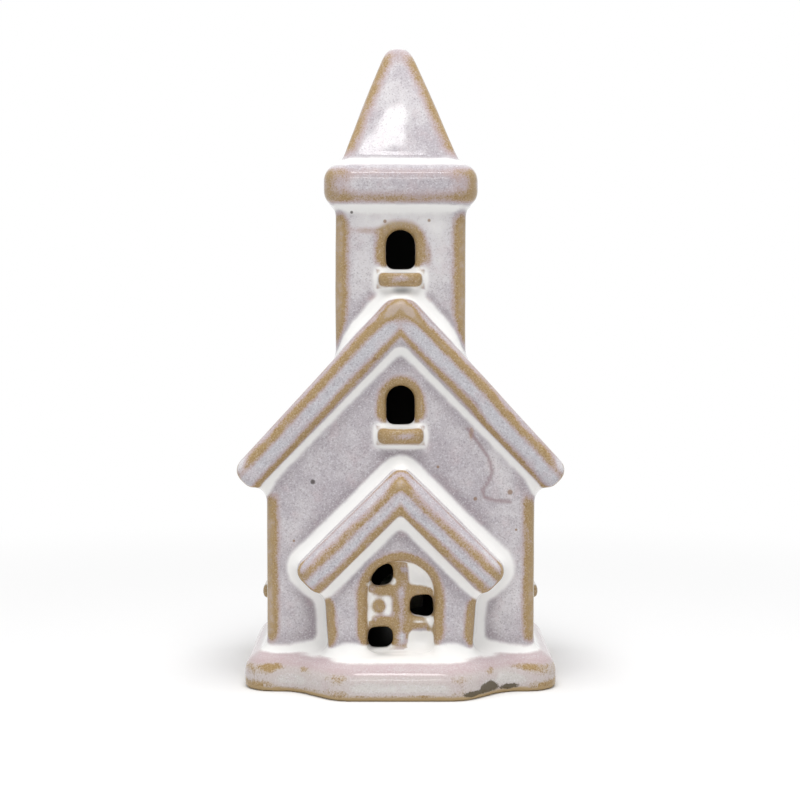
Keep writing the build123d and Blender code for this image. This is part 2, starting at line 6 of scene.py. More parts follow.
import bmesh
import bpy
import numpy as np
import openvdb
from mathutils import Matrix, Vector


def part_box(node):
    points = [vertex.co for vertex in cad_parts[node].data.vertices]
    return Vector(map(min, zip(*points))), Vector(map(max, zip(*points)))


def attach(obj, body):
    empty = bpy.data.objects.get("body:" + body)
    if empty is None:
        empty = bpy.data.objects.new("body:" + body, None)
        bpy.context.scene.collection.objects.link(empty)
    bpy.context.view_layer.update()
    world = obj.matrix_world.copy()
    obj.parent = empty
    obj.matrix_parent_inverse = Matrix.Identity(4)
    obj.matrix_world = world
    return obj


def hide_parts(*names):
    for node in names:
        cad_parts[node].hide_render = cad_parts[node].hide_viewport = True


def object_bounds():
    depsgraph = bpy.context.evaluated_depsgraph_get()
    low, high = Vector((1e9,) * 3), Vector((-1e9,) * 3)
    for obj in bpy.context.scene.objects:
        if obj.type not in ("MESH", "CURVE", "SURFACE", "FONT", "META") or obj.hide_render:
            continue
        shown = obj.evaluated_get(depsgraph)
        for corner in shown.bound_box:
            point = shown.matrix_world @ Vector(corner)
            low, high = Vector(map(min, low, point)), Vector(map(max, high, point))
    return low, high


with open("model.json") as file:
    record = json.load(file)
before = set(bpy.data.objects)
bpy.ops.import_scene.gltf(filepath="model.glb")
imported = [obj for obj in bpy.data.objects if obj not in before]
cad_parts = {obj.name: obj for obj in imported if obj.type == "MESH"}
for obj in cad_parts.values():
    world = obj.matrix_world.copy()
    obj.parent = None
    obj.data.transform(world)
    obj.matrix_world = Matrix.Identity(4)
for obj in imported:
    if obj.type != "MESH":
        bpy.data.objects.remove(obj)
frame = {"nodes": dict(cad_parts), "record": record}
cad_low, cad_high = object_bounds()
nodes = frame["nodes"]
MM = 0.001

# The fired skin: slip and glaze run over the joined clay pieces as one coat.
VOXEL = 0.5 * MM
TUNED_VOXEL = 0.45 * MM  # the grid for which the rounds of softening were set
BAND = 4.3 * MM  # how far the distances reach from the clay
AIR_BAND = 9.5 * MM  # the same for the coarse grid that finds the inside
MARGIN = 5.0 * MM  # air kept round the whole
SLIP_RADIUS = 0.75 * MM  # fillets of thin slip
POOL_RADIUS = 2.8 * MM  # fillets of pooled glaze
MELT = 0.33 * MM  # softening of the whole coat
EDGE_REACH = 0.75 * MM  # blur that tells convex edges apart
EDGE_RISE = 0.105 * MM  # how far a full edge stands out of that blur
POOL_RISE = 0.40 * MM  # depth at which pooled glaze is white
SILL_ROUND = 0.8 * MM
RIM_REACH = 7.0 * MM  # the plinth's soft rim, inward and downward
RIM_DROP = 5.5 * MM
SWIRL_RISE = 0.09 * MM  # unevenness: slow swirls, fine ripples and the door's panes
RIPPLE_RISE = 0.018 * MM
PANE_RISE = 0.34 * MM
SPIRE_SWELL = 0.5 * MM
FLAT_FOOT = 0.22 * MM  # lower than this, the foot is flat on the floor
WINDOW_REACH = 3.4 * MM  # openings up to twice this count as closed
INSIDE_FROM = 5.0 * MM  # depth behind the outside at which the walls are painted dark as shade
INSIDE_FULL = 6.6 * MM
PORCH_FACE = -20.5 * MM  # the porch stands in front of this
BASE_CUT = 12.6 * MM  # heights at which the skin is cut into pieces
STEEPLE_CUT = 104.8 * MM

CLAY = list(frame["record"]["behaviour"]["bodies"]["house"])
LIGHT_UNIT = list(frame["record"]["behaviour"]["bodies"]["light_unit"])
SILLS = ["gable_window_sill", "tower_window_sill", "left_window_sill", "right_window_sill"]

# Where the glaze did something of its own on the front: place, reach across, reach up (mm), strength.
TAN_STAINS = [
    (6.4, -14.7, 97.0, 0.8, 2.6, 0.30), (-7.5, -14.7, 103.2, 3.4, 0.9, 0.40), (-5.4, -14.7, 87.8, 2.2, 1.1, 0.45),
    (5.6, -14.7, 87.6, 2.0, 1.0, 0.40), (-27.5, -20.5, 5.8, 3.6, 1.5, 0.62), (-21.5, -22.5, 5.6, 1.8, 1.4, 0.58),
    (26.5, -20.5, 6.0, 4.0, 1.2, 0.62), (20.2, -25.5, 6.0, 1.5, 1.2, 0.66), (-16.6, -15.6, 113.0, 1.4, 3.0, 0.35),
    (16.6, -15.8, 113.4, 1.5, 3.0, 0.50), (15.9, -17.0, 57.8, 0.6, 1.5, 0.70), (-5.0, -20.2, 19.2, 1.5, 1.7, 0.95),
    (0.2, -20.6, 18.2, 0.8, 5.0, -0.40), (0.4, -20.6, 12.5, 1.0, 1.2, -0.60), (4.6, -20.4, 14.0, 3.2, 0.8, 0.34),
    (29.3, -16.0, 36.0, 1.4, 9.0, -0.20), (0.0, -19.2, 84.8, 4.2, 2.6, 0.75), (0.0, -25.8, 47.8, 2.6, 2.2, 0.60),
    (0.0, -17.0, 109.8, 17.0, 1.0, 0.32), (0.4, -16.4, 92.3, 2.6, 0.7, -0.42), (1.2, -18.6, 57.2, 2.4, 0.8, -0.44),
    (4.4, -20.6, 12.8, 1.6, 1.6, -0.90), (-36.4, -18.6, 50.6, 2.0, 2.2, -0.65), (36.4, -18.6, 50.6, 2.0, 2.2, -0.65),
]
MILK_STAINS = [
    (8.6, -14.7, 98.0, 3.4, 9.0, 1.35), (-8.4, -14.7, 97.0, 3.0, 8.0, 0.85), (23.0, -17.0, 30.0, 5.0, 10.0, 0.75),
    (-24.5, -17.0, 28.0, 3.0, 9.0, 0.55), (20.8, -17.0, 52.0, 1.7, 3.0, 0.85), (23.6, -17.0, 47.0, 2.4, 3.4, 1.15),
    (-36.0, -18.6, 50.4, 2.2, 2.4, 1.20), (36.0, -18.6, 50.4, 2.2, 2.4, 1.20), (0.0, -14.7, 105.0, 13.0, 2.8, 1.70),
    (0.0, -31.0, 2.9, 17.0, 1.4, 1.20), (-10.0, -17.0, 50.0, 5.0, 5.0, 0.22), (-5.0, -20.2, 19.2, 1.4, 1.6, -3.00),
    (22.4, -24.5, 4.4, 1.4, 1.6, 2.40), (4.6, -20.0, 11.4, 2.8, 1.9, 3.20), (4.8, -20.0, 26.8, 2.6, 2.8, 0.90),
    (0.0, -8.0, 131.0, 6.0, 9.0, 0.60), (-1.6, -20.6, 24.9, 0.9, 1.1, 4.00), (-7.5, -20.4, 24.5, 0.8, 0.6, 3.60),
    (-4.6, -20.6, 10.3, 3.6, 0.5, 3.60), (6.7, -20.4, 16.3, 1.0, 0.7, 3.80), (4.0, -20.6, 15.8, 1.8, 0.5, 3.20),
    (4.6, -20.4, 14.0, 3.2, 0.8, -3.60), (-0.6, -20.6, 12.2, 1.0, 1.0, 1.60),
]
BARE_PATCHES = [
    (19.9, -26.0, 2.3, 2.6, 1.3, 1.20), (16.0, -29.6, 1.4, 3.2, 0.8, 1.00), (24.6, -22.2, 1.5, 3.2, 0.8, 0.90),
]
# Lines that the glaze drew on the front: across and up (mm).
DRIP_LINE = [(15.0, 58.9), (17.5, 55.5), (19.8, 52.2), (20.6, 49.0), (19.7, 46.8), (18.4, 45.0), (18.9, 43.3),
             (21.4, 42.6), (24.6, 42.4)]
HAIRLINE = [(13.9, 67.6), (15.1, 66.2), (15.8, 66.0), (17.5, 63.6)]
# Small round marks: place and size (mm).
DARK_PINHOLES = [((-10.95, -14.8, 107.2), 0.45), ((5.95, -17.5, 116.1), 0.4), ((-19.7, -17.0, 46.8), 0.75)]
TAN_SPOTS = [((-3.5, -14.8, 105.2), 0.55), ((6.4, -14.8, 105.4), 0.5), ((-5.7, -19.2, 74.4), 0.6),
             ((16.8, -17.0, 43.0), 0.6), ((8.4, -17.0, 50.2), 0.45), ((24.6, -17.0, 44.5), 0.8),
             ((26.0, -17.0, 36.0), 0.4), ((-24.0, -17.0, 33.5), 0.4)]
# Openings that the glaze draws back from: centre across, wall plane, foot, half width, full height, looks along y.
WINDOWS = [(0.0, -17.0, 59.6, 3.2, 8.8, True), (0.0, -14.7, 94.6, 3.2, 8.8, True),
           (4.5, -30.25, 21.6, 3.2, 8.8, False), (4.5, 30.25, 21.6, 3.2, 8.8, False),
           (0.0, -23.0, 9.0, 7.6, 20.8, True)]
# Gable boards: ridge height, fall, face from y to y, pale stripe (depth, width), tan bands (depth, width, strength).
BOARDS = [(90.6, 1.0884, -17.4, -18.4, (4.0, 1.3), [(1.75, 1.35, 0.82), (6.75, 1.0, 0.80)]),
          (90.6, 1.0884, 26.4, 27.4, (4.0, 1.3), [(1.75, 1.35, 0.82), (6.75, 1.0, 0.80)]),
          (51.4, 1.0, -23.5, -24.3, (4.9, 0.5), [(1.8, 0.8, 0.40), (2.95, 0.85, 0.64), (6.8, 1.3, 0.76)])]
# Panes of the door that are not pierced: lower and upper corner, across and up (mm).
BLIND_PANES = [((1.6, 23.3), (7.6, 30.5)), ((-7.6, 16.2), (-1.6, 22.4)), ((1.6, 9.2), (7.6, 15.4))]


class Kiln:
    """A grid of distances to the clay, in metres, negative inside it."""

    def __init__(self, voxel, reach):
        self.voxel = voxel
        self.band = math.ceil(reach / voxel)
        self.corner = np.floor((np.array(cad_low) - MARGIN) / voxel).astype(int)
        self.size = np.ceil((np.array(cad_high) + MARGIN) / voxel).astype(int) - self.corner + 1
        self.transform = openvdb.createLinearTransform(voxelSize=voxel)
        self.start = tuple(int(c) for c in self.corner)

    def distances(self, points, faces):
        """Distances to a closed surface."""
        kind = "triangles" if faces.shape[1] == 3 else "quads"
        grid = openvdb.FloatGrid.createLevelSetFromPolygons(
            np.ascontiguousarray(points, np.float32), transform=self.transform,
            halfWidth=float(self.band), **{kind: np.ascontiguousarray(faces, np.uint32)})
        field = np.empty(tuple(self.size), np.float32)
        grid.copyToArray(field, ijk=self.start)
        return field

    def surface(self, field, level=0.0):
        """Points and quads where the field has that level."""
        grid = openvdb.FloatGrid(self.band * self.voxel)
        grid.copyFromArray(np.ascontiguousarray(field, np.float32), ijk=self.start)
        grid.transform = self.transform
        return grid.convertToQuads(level)[:2]

    def closed(self, field, radius):
        """The field with every crease filled to that radius, as a liquid coat fills it."""
        return self.distances(*self.surface(field, radius)) + radius

    def axes(self):
        """Grid lines along x, y and z, each shaped to spread over the other two."""
        lines = [(np.arange(n) + c) * self.voxel for n, c in zip(self.size, self.corner)]
        return lines[0][:, None, None], lines[1][None, :, None], lines[2][None, None, :]

    def blurred(self, field, reach):
        """Gaussian blur."""
        spread = reach / self.voxel
        count = max(1, math.ceil(2.6 * spread))
        weights = np.exp(-0.5 * (np.arange(-count, count + 1) / spread) ** 2)
        weights = (weights / weights.sum()).astype(np.float32)
        for axis in range(3):
            total = np.zeros_like(field)
            for step, weight in zip(range(-count, count + 1), weights):
                total += weight * np.roll(field, step, axis)
            field = total
        return field

    def lumps(self, spacing, seed):
        """Smooth random field, about -1 to 1, with lumps of that size."""
        counts = np.ceil(self.size * self.voxel / spacing).astype(int) + 5
        field = np.random.default_rng(seed).uniform(-2.2, 2.2, counts).astype(np.float32)
        for axis in range(3):
            place = np.arange(self.size[axis]) * self.voxel / spacing + 1
            cell = np.floor(place).astype(int)
            t = place - cell
            spline = ((1 - t) ** 3 / 6, (3 * t ** 3 - 6 * t ** 2 + 4) / 6,
                      (-3 * t ** 3 + 3 * t ** 2 + 3 * t + 1) / 6, t ** 3 / 6)
            weights = np.zeros((self.size[axis], counts[axis]), np.float32)
            for step, share in enumerate(spline):
                weights[np.arange(self.size[axis]), cell + step - 1] = share
            field = np.moveaxis(np.tensordot(weights, field, (1, axis)), 0, axis)
        return np.ascontiguousarray(field)

    def read(self, field, points):
        """The field's values at points, read between the grid lines."""
        place = points / self.voxel - self.corner
        cell = np.clip(np.floor(place).astype(int), 0, self.size - 2)
        t = place - cell
        total = np.zeros(len(points))
        for i in (0, 1):
            for j in (0, 1):
                for k in (0, 1):
                    share = np.abs(1 - i - t[:, 0]) * np.abs(1 - j - t[:, 1]) * np.abs(1 - k - t[:, 2])
                    total += share * field[cell[:, 0] + i, cell[:, 1] + j, cell[:, 2] + k]
        return total


def node_mesh(name):
    """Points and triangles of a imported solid."""
    mesh = nodes[name].data
    mesh.calc_loop_triangles()
    points = np.empty(len(mesh.vertices) * 3, np.float32)
    mesh.vertices.foreach_get("co", points)
    corners = np.empty(len(mesh.loop_triangles) * 3, np.int32)
    mesh.loop_triangles.foreach_get("vertices", corners)
    return points.reshape(-1, 3), corners.reshape(-1, 3)


def box_of(name):
    """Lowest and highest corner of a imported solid."""
    return tuple(np.array(corner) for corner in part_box(name))


def away_from(points, name):
    """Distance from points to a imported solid's box, 0 inside it."""
    low, high = box_of(name)
    return np.linalg.norm(np.maximum(np.maximum(low - points, points - high), 0), axis=1)


def ease(value, low, high):
    """Smooth step from 0 at low to 1 at high."""
    t = np.clip((value - low) / (high - low), 0, 1)
    return t * t * (3 - 2 * t)


def near_box(kiln, low, high, fall):
    """1 inside a box, fading to 0 over the fall outside it."""
    away = 0
    for line, a, b in zip(kiln.axes(), low, high):
        away = away + np.maximum(np.maximum(a - line, line - b), 0) ** 2
    return 1 - ease(np.sqrt(away), 0, fall)


def outside_air(clay):
    """Air that is reached from outside without going through a window."""
    free = clay > WINDOW_REACH
    air = np.zeros_like(free)
    for axis in range(3):
        for end in (0, -1):
            edge = [slice(None)] * 3
            edge[axis] = end
            air[tuple(edge)] = True
    air &= free
    for _ in range(4):
        for axis in range(3):
            for way in (1, -1):
                lane = np.moveaxis(air, axis, 0)[::way]
                room = np.moveaxis(free, axis, 0)[::way]
                for i in range(1, len(lane)):
                    lane[i] |= lane[i - 1] & room[i]
    return air


def crisp_zones(kiln):
    """Where the glaze stays thin: round the pierced windows and the door's panes."""
    thin = np.zeros(tuple(kiln.size), np.float32)
    for name in SILLS:
        low, high = box_of(name)
        centre = (low + high) / 2
        side = abs(centre[0]) > 20 * MM
        room = np.array([4.0, -1.5, 0.0] if side else [-1.5, 4.0, 0.0]) * MM
        foot = np.array([low[0], low[1], high[2]]) - room
        head = np.array([high[0], high[1], high[2] + 8.6 * MM]) + room
        thin = np.maximum(thin, near_box(kiln, foot, head, 1.5 * MM))
    low, high = box_of("door_panel")
    room = np.array([0.4, 1.0, 0.0]) * MM
    door = near_box(kiln, low - room, high + room, 1.0 * MM)
    for (x0, z0), (x1, z1) in BLIND_PANES:
        pane_low = np.array([x0 * MM, low[1] - 1 * MM, z0 * MM])
        pane_high = np.array([x1 * MM, high[1], z1 * MM])
        door = np.minimum(door, 1 - 0.6 * near_box(kiln, pane_low, pane_high, 0.5 * MM))
    return np.maximum(thin, door)


def soft_rim(kiln):
    """Block with the plinth's outline and a full, soft upper rim; negative inside."""
    points = node_mesh("base_plinth")[0].astype(float)
    top = points[:, 2].max()
    belt = points[np.abs(points[:, 2] - (top - 3.2 * MM)) < 0.05 * MM][:, :2]
    middle = belt.mean(0)
    belt = belt[np.argsort(np.arctan2(belt[:, 1] - middle[1], belt[:, 0] - middle[0]))]
    x, y, z = kiln.axes()
    x, y = x[:, :, 0], y[:, :, 0]
    away = np.full(tuple(kiln.size[:2]), 1.0)
    inner = np.zeros(tuple(kiln.size[:2]), bool)
    for (ax, ay), (bx, by) in zip(belt, np.roll(belt, -1, 0)):
        length = (bx - ax) ** 2 + (by - ay) ** 2
        if length < 1e-12:
            continue
        along = np.clip(((x - ax) * (bx - ax) + (y - ay) * (by - ay)) / length, 0, 1)
        away = np.minimum(away, np.hypot(x - ax - along * (bx - ax), y - ay - along * (by - ay)))
        if ay != by:
            inner ^= ((y < ay) != (y < by)) & (x < ax + (y - ay) * (bx - ax) / (by - ay))
    side = np.where(inner, away, -away)[:, :, None]
    slope = np.hypot(np.maximum(1 - side / RIM_REACH, 0), np.maximum(1 - (top - z) / RIM_DROP, 0))
    return (slope - 1) * RIM_DROP


def spire_swell(kiln):
    """The spire's flat sides swell a little, as slip-cast walls do."""
    low, high = box_of("spire")
    x, y, z = kiln.axes()
    share = np.clip((z - low[2]) / (high[2] - low[2]), 0, 1)
    half = (high[1] - low[1]) / 2 * (1 - 0.83 * share)
    across = np.minimum(np.abs(x + 0.6 * MM * share), np.abs(y)) / half
    return SPIRE_SWELL * np.clip(1 - across ** 2, 0, 1) * 4 * share * (1 - share)


def tip_dome(kiln):
    """Ball that rounds the spire's tip; negative inside it, and everywhere below its middle."""
    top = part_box("spire")[1][2]
    x, y, z = kiln.axes()
    ball = 3.4 * MM
    square = np.clip((top - z) / (2.4 * MM), 0, 1)
    across = np.hypot(x + 0.6 * MM, y) * (1 - square) + np.sqrt(np.sqrt((x + 0.6 * MM) ** 4 + y ** 4)) * square
    away = np.sqrt(across ** 2 + (z - top + 1.05 * ball) ** 2) - ball
    return np.where(z > top - 2.4 * MM, away, -BAND).astype(np.float32)


def glaze_bands(points, wave):
    """Along the gable boards: where they are, how far the glaze breaks there, and the pale stripe."""
    x, y, z = (points / MM).T
    zone, tan, pale = (np.zeros(len(points)) for _ in range(3))
    for ridge, fall, begin, full, (middle, wide), bands in BOARDS:
        depth = (ridge - fall * np.abs(x) - z) / math.hypot(1, fall) + wave
        here = ease((y - begin) / (full - begin), 0, 1) * ease(depth, -1.5, -0.5) * (1 - ease(depth, 8.2, 9.2))
        zone += here
        pale += here * np.exp(-((depth - middle) / wide) ** 2)
        for at, width, strength in bands:
            tan += here * strength * np.exp(-((depth - at) / (width * (1 + 0.35 * wave))) ** 2)
    return zone, tan, pale


def window_rings(points, wave):
    """1 on the narrow band round each opening, fading outward."""
    total = np.zeros(len(points))
    x, y, z = (points / MM).T
    for centre, plane, foot, half, tall, along_y in WINDOWS:
        across, deep = (x - centre, y - plane) if along_y else (y - centre, x - plane)
        spring = foot + tall - half
        away = np.where(z > spring, np.hypot(across, z - spring) - half, np.maximum(np.abs(across) - half, foot - z))
        recess = 1.6 if half > 5 else 0.0
        total += (ease(away, -0.6 - recess, -recess) * (1 - ease(away + 0.6 * wave, 0.6, 1.9))
                  * (1 - ease(np.abs(deep), 0.9 + 2 * recess, 1.6 + 2 * recess)))
    return total


def stains(points, table):
    """Soft patches summed at the points."""
    total = np.zeros(len(points))
    for x, y, z, across, up, strength in table:
        away = (points / MM - (x, y, z)) / (across, 3.0, up)
        total += strength * np.exp(-(away ** 2).sum(1))
    return total


def near_line(points, line, front, back):
    """Distance, in millimetres, from points between two depths to a line drawn on the front."""
    best = np.full(len(points), 99.0)
    flat = points[:, [0, 2]] / MM
    for a, b in zip(np.array(line[:-1]), np.array(line[1:])):
        along = np.clip(((flat - a) @ (b - a)) / ((b - a) @ (b - a)), 0, 1)
        best = np.minimum(best, np.linalg.norm(flat - a - along[:, None] * (b - a), axis=1))
    best[(points[:, 1] < front * MM) | (points[:, 1] > back * MM)] = 99.0
    return best


def spread(values, edges, times):
    """Values softened over a mesh by that many rounds of averaging with neighbours."""
    count = len(values)
    degree = np.bincount(edges[:, 0], minlength=count) + np.bincount(edges[:, 1], minlength=count)
    for _ in range(times):
        total = np.bincount(edges[:, 0], values[edges[:, 1]], count)
        total += np.bincount(edges[:, 1], values[edges[:, 0]], count)
        values = 0.5 * values + 0.5 * total / np.maximum(degree, 1)
    return values


def joined_clay(kiln):
    """Distances to the house as its pieces were luted together, and to its sills."""
    walls = np.maximum(kiln.distances(*node_mesh("base_plinth")), soft_rim(kiln)).astype(np.float32)
    walls = kiln.distances(*kiln.surface(walls))
    ledges = None
    for name in CLAY:
        if name == "base_plinth":
            continue
        field = kiln.distances(*node_mesh(name))
        if name in SILLS:
            ledges = field if ledges is None else np.minimum(ledges, field)
        elif name == "spire":
            walls = np.minimum(walls, np.maximum(field, tip_dome(kiln)))
        else:
            walls = np.minimum(walls, field)
    return walls, kiln.distances(*kiln.surface(ledges, -SILL_ROUND)) - SILL_ROUND


def liquid_coat(kiln, walls, clay):
    """Distances to the coat: slip over all the clay, pools where the walls meet."""
    slip = kiln.closed(clay, SLIP_RADIUS)
    pooled = np.minimum(kiln.closed(walls, POOL_RADIUS), slip)
    coat = slip + (1 - crisp_zones(kiln)) * (pooled - slip)
    return kiln.blurred(coat.astype(np.float32), MELT)


def unevenness(kiln, swirl, ripple):
    """How far the surface stands out from the true shape."""
    wobble = SWIRL_RISE * swirl + RIPPLE_RISE * ripple
    low, high = box_of("door_panel")
    room = np.array([2.0, -2.0, 2.0]) * MM
    wobble += PANE_RISE * kiln.lumps(2.4 * MM, 5) * near_box(kiln, low + room, high - room, 0.8 * MM)
    wobble += spire_swell(kiln)
    return wobble


def skin_mesh(points, quads):
    """The skin with its faces outward, and its normals and edges as arrays."""
    a, b, c, d = (points[quads[:, i]] for i in range(4))
    if (np.cross(c - a, d - b) * (a + b + c + d)).sum() < 0:
        quads = quads[:, ::-1]
    mesh = bpy.data.meshes.new("glazed_skin")
    mesh.from_pydata(points, [], quads)
    mesh.update()
    normals = np.empty(len(points) * 3, np.float32)
    mesh.vertex_normals.foreach_get("vector", normals)
    edges = np.empty(len(mesh.edges) * 2, np.int32)
    mesh.edges.foreach_get("vertices", edges)
    return mesh, normals.reshape(-1, 3), edges.reshape(-1, 2)


def indoors(points):
    """How deep points lie behind the house's outside, with its windows taken as closed."""
    plug = Kiln(2 * VOXEL, AIR_BAND)
    gap = None
    for name in CLAY + LIGHT_UNIT:
        field = plug.distances(*node_mesh(name))
        gap = field if gap is None else np.minimum(gap, field)
    filled = np.where(outside_air(gap), gap - WINDOW_REACH, -plug.band * plug.voxel)
    return plug.read(-plug.distances(*plug.surface(filled)), points)


def on_rails(points):
    """True on the door's rails and pierced panes, where the glaze stays thin."""
    low, high = box_of("door_panel")
    found = ((points > low - 0.5 * MM) & (points < high + 0.2 * MM)).all(1)
    for (x0, z0), (x1, z1) in BLIND_PANES:
        across = (points[:, 0] > x0 * MM) & (points[:, 0] < x1 * MM)
        found &= ~(across & (points[:, 2] > z0 * MM) & (points[:, 2] < z1 * MM))
    return found


def glaze_notes(points, normals, edges, at):
    """What the glaze does at each point, from the fields read there."""
    scale = (TUNED_VOXEL / VOXEL) ** 2

    def soften(values, times):
        return spread(values, edges, max(1, round(times * scale)))

    up = points[:, 2] / MM
    wave = 0.42 * at["swirl"] + 0.22 * at["ripple"]
    pool = soften(ease(at["clay"] - at["wobble"], 0.0, POOL_RISE), 9) * (1 - 0.6 * on_rails(points))

    # Convex edges, with less break where they face upward and on the steeple.
    bulge = np.minimum(np.maximum(at["edges"] - at["wobble"], 0) / EDGE_RISE, 2.0)
    upward_less = 1 - 0.75 * ease(normals[:, 2], 0.50, 0.72)
    steeple = 1 - 0.4 * ease(up, 108.0, 109.5)
    breaks = soften(bulge * upward_less * steeple, 14)
    edge_halo = soften(breaks, 50)
    breaks = breaks + ease(up, 118.5, 119.5) * (1.25 * soften(breaks, 36) - breaks)

    # The boards, the openings and the small pieces break in their own way.
    zone, tan, stripe = glaze_bands(points, wave)
    breaks = np.minimum(breaks * (1 - zone) + tan, 2.0 - 1.18 * np.minimum(zone, 1))
    rings = window_rings(points, wave)
    breaks = np.maximum(np.where(rings > 0.2, np.minimum(breaks, 0.8), breaks), 0.66 * rings)
    small = np.zeros(len(points))
    collar = np.zeros(len(points))
    for name in SILLS + ["door_panel"]:
        away = away_from(points, name)
        small = np.maximum(small, 1 - ease(away, 0.1 * MM, 0.4 * MM))
        if name in SILLS:
            breaks = np.maximum(breaks, 0.60 * (1 - ease(away, 0.1 * MM, 0.3 * MM)))
            collar += ease(away, 0.15 * MM, 0.45 * MM) * (1 - ease(away, 0.3 * MM, 2.1 * MM))
    small = small > 0.5
    breaks = np.where(small | (points[:, 1] < PORCH_FACE), np.minimum(breaks, 0.82), breaks)
    breaks = breaks + stains(points, TAN_STAINS)
    breaks = np.where(small, np.minimum(breaks, 0.95), breaks)

    lines = np.minimum(near_line(points, DRIP_LINE, -18.6, -15.5), near_line(points, HAIRLINE, -20.0, -18.6) + 0.2)
    return {
        "pool": pool,
        "halo": soften(pool, 90),
        "breaks": breaks,
        "rim": 0.7 * edge_halo * (1 - zone) + 0.9 * stripe,
        "tops": soften(ease(normals[:, 2], 0.75, 0.95) * ease(up + 0.5 * wave, 7.0, 8.2), 14),
        "milk": 0.22 * at["cloud"] + stains(points, MILK_STAINS) + 1.3 * collar,
        "drip": 1 - ease(lines, 0.10, 0.60),
        "bare": stains(points, BARE_PATCHES),
        "inside": ease(indoors(points), INSIDE_FROM, INSIDE_FULL),
    }


def fire_skin():
    """The whole glazed skin as one mesh, with what the glaze does kept at each point."""
    kiln = Kiln(VOXEL, BAND)
    walls, ledges = joined_clay(kiln)
    clay = np.minimum(walls, ledges)
    coat = liquid_coat(kiln, walls, clay)
    swirl = kiln.lumps(8 * MM, 1)
    ripple = kiln.lumps(3 * MM, 2)
    wobble = unevenness(kiln, swirl, ripple)
    points, quads = kiln.surface(coat - wobble)
    points = np.clip(points, np.array(cad_low), np.array(cad_high))
    points[points[:, 2] < FLAT_FOOT, 2] = 0.0
    mesh, normals, edges = skin_mesh(points, quads)
    fields = {"clay": clay, "edges": kiln.blurred(coat, EDGE_REACH), "wobble": wobble,
              "swirl": swirl, "ripple": ripple, "cloud": kiln.lumps(13 * MM, 3)}
    at = {name: kiln.read(field, points) for name, field in fields.items()}
    for name, values in glaze_notes(points, normals, edges, at).items():
        layer = mesh.attributes.new(name, "FLOAT", "POINT")
        layer.data.foreach_set("value", np.ascontiguousarray(values, np.float32))
    return mesh


def skin_piece(mesh, name, floor, ceiling, stands_for):
    """The part of the skin between two heights, closed where it is cut."""
    piece = bmesh.new()
    piece.from_mesh(mesh)
    for height, upward in ((floor, -1), (ceiling, 1)):
        if height is None:
            continue
        geom = piece.verts[:] + piece.edges[:] + piece.faces[:]
        cut = bmesh.ops.bisect_plane(piece, geom=geom, plane_co=(0, 0, height), plane_no=(0, 0, upward),
                                     clear_outer=True)
        rim = [e for e in cut["geom_cut"] if isinstance(e, bmesh.types.BMEdge)]
        filled = bmesh.ops.triangle_fill(piece, edges=rim, use_beauty=True, normal=(0, 0, upward))
        for face in filled["geom"]:
            if isinstance(face, bmesh.types.BMFace):
                face.smooth = False
        for edge in rim:
            edge.smooth = False
    made = bpy.data.meshes.new(name)
    piece.to_mesh(made)
    piece.free()
    thing = bpy.data.objects.new(name, made)
    bpy.context.scene.collection.objects.link(thing)
    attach(thing, "house")
    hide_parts(*stands_for)
    return thing


def thin_inside(mesh):
    """Flat inner walls, which no one sees closely, take few faces."""
    inner = bmesh.new()
    inner.from_mesh(mesh)
    layer = inner.verts.layers.float["inside"]
    hidden = [v for v in inner.verts if v[layer] > 0.999]
    lines = [e for e in inner.edges if e.verts[0][layer] > 0.999 and e.verts[1][layer] > 0.999]
    bmesh.ops.dissolve_limit(inner, angle_limit=math.radians(4), use_dissolve_boundaries=False,
                             verts=hidden, edges=lines, delimit=set())
    bmesh.ops.triangulate(inner, faces=[f for f in inner.faces if len(f.verts) > 4])
    for face in inner.faces:
        face.smooth = True
    inner.to_mesh(mesh)
    inner.free()


skin = fire_skin()
thin_inside(skin)
base = skin_piece(skin, "glazed_base", None, BASE_CUT, ["base_plinth"])
house = skin_piece(skin, "glazed_house", BASE_CUT, STEEPLE_CUT,
                   ["nave_walls", "nave_roof", "porch_walls", "porch_roof", "door_panel", "tower_walls"] + SILLS)
steeple = skin_piece(skin, "glazed_steeple", STEEPLE_CUT, None, ["tower_cornice", "spire"])
bpy.data.meshes.remove(skin)


def paint(red, green, blue):
    """A colour as seen, 0 to 255, made linear."""
    shares = [c / 255 for c in (red, green, blue)]
    return tuple(c / 12.92 if c <= 0.04045 else ((c + 0.055) / 1.055) ** 2.4 for c in shares) + (1.0,)


class Tone:
    """A shader socket that takes part in arithmetic."""

    def __init__(self, finish, socket):
        self.finish = finish
        self.socket = socket

    def maths(self, operation, first, second):
        return self.finish.node("ShaderNodeMath", {"operation": operation}, {0: first, 1: second})

    def __add__(self, other):
        return self.maths("ADD", self, other)

    def __radd__(self, other):
        return self.maths("ADD", other, self)

    def __sub__(self, other):
        return self.maths("SUBTRACT", self, other)

    def __rsub__(self, other):
        return self.maths("SUBTRACT", other, self)

    def __mul__(self, other):
        return self.maths("MULTIPLY", self, other)

    def __rmul__(self, other):
        return self.maths("MULTIPLY", other, self)


